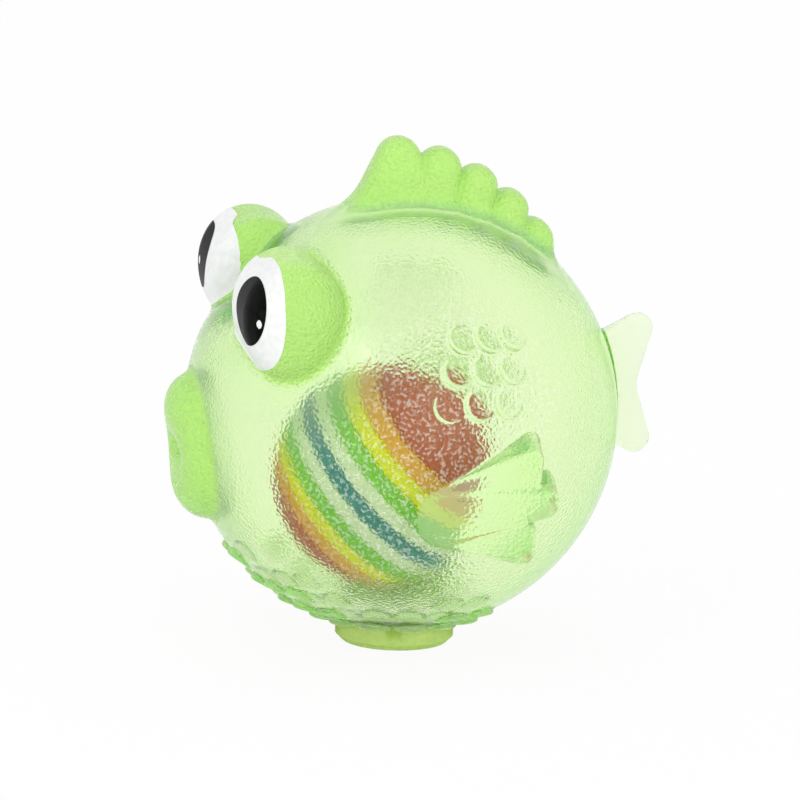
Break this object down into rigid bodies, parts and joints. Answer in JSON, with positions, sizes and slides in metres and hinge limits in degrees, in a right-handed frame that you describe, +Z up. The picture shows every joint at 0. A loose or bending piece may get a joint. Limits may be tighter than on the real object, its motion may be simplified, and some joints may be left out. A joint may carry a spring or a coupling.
{
  "type": "fish dog chew toy",
  "caption": "Hollow ball-shaped fish of clear green soft rubber with domed printed eyes, lobed fins, a striped foam ball rolling inside and a squeaker foot.",
  "frame": {"origin": "centre of the foot's underside, on the floor the toy stands on", "axes": "+Z up, the fish faces -Y, its left side is +X"},
  "size_m": [0.0958, 0.098, 0.1022],
  "materials": {
    "clear_rubber": "satin",
    "white_ink": "satin",
    "black_ink": "satin",
    "foam_red": "matte",
    "foam_orange": "matte",
    "foam_yellow": "matte",
    "foam_green": "matte",
    "foam_white": "matte",
    "foam_blue": "matte",
    "foot_plastic": "satin",
    "case_plastic": "satin"
  },
  "bodies": {
    "fish": {"body_left": "clear_rubber", "body_right": "clear_rubber", "eye_white_left": "white_ink", "eye_white_right": "white_ink", "pupil_left": "black_ink", "pupil_right": "black_ink", "glint_left": "white_ink", "glint_right": "white_ink", "squeaker_foot": "foot_plastic", "squeaker_case": "case_plastic", "reed_tube": "case_plastic", "reed_bed": "foot_plastic", "reed": "case_plastic", "reed_wedge": "foot_plastic"},
    "ball": {"ball_red_low": "foam_red", "ball_orange_low": "foam_orange", "ball_yellow_low": "foam_yellow", "ball_green_low": "foam_green", "ball_white_low": "foam_white", "ball_blue": "foam_blue", "ball_white_high": "foam_white", "ball_green_high": "foam_green", "ball_yellow_high": "foam_yellow", "ball_orange_high": "foam_orange", "ball_red_high": "foam_red"}
  },
  "joints": [
    {"name": "ball_orbit", "type": "hinge", "parent": "fish", "child": "ball", "pos_m": [0, 0, 0.046], "axis": [0, 0, 1], "continuous": true}
  ]
}
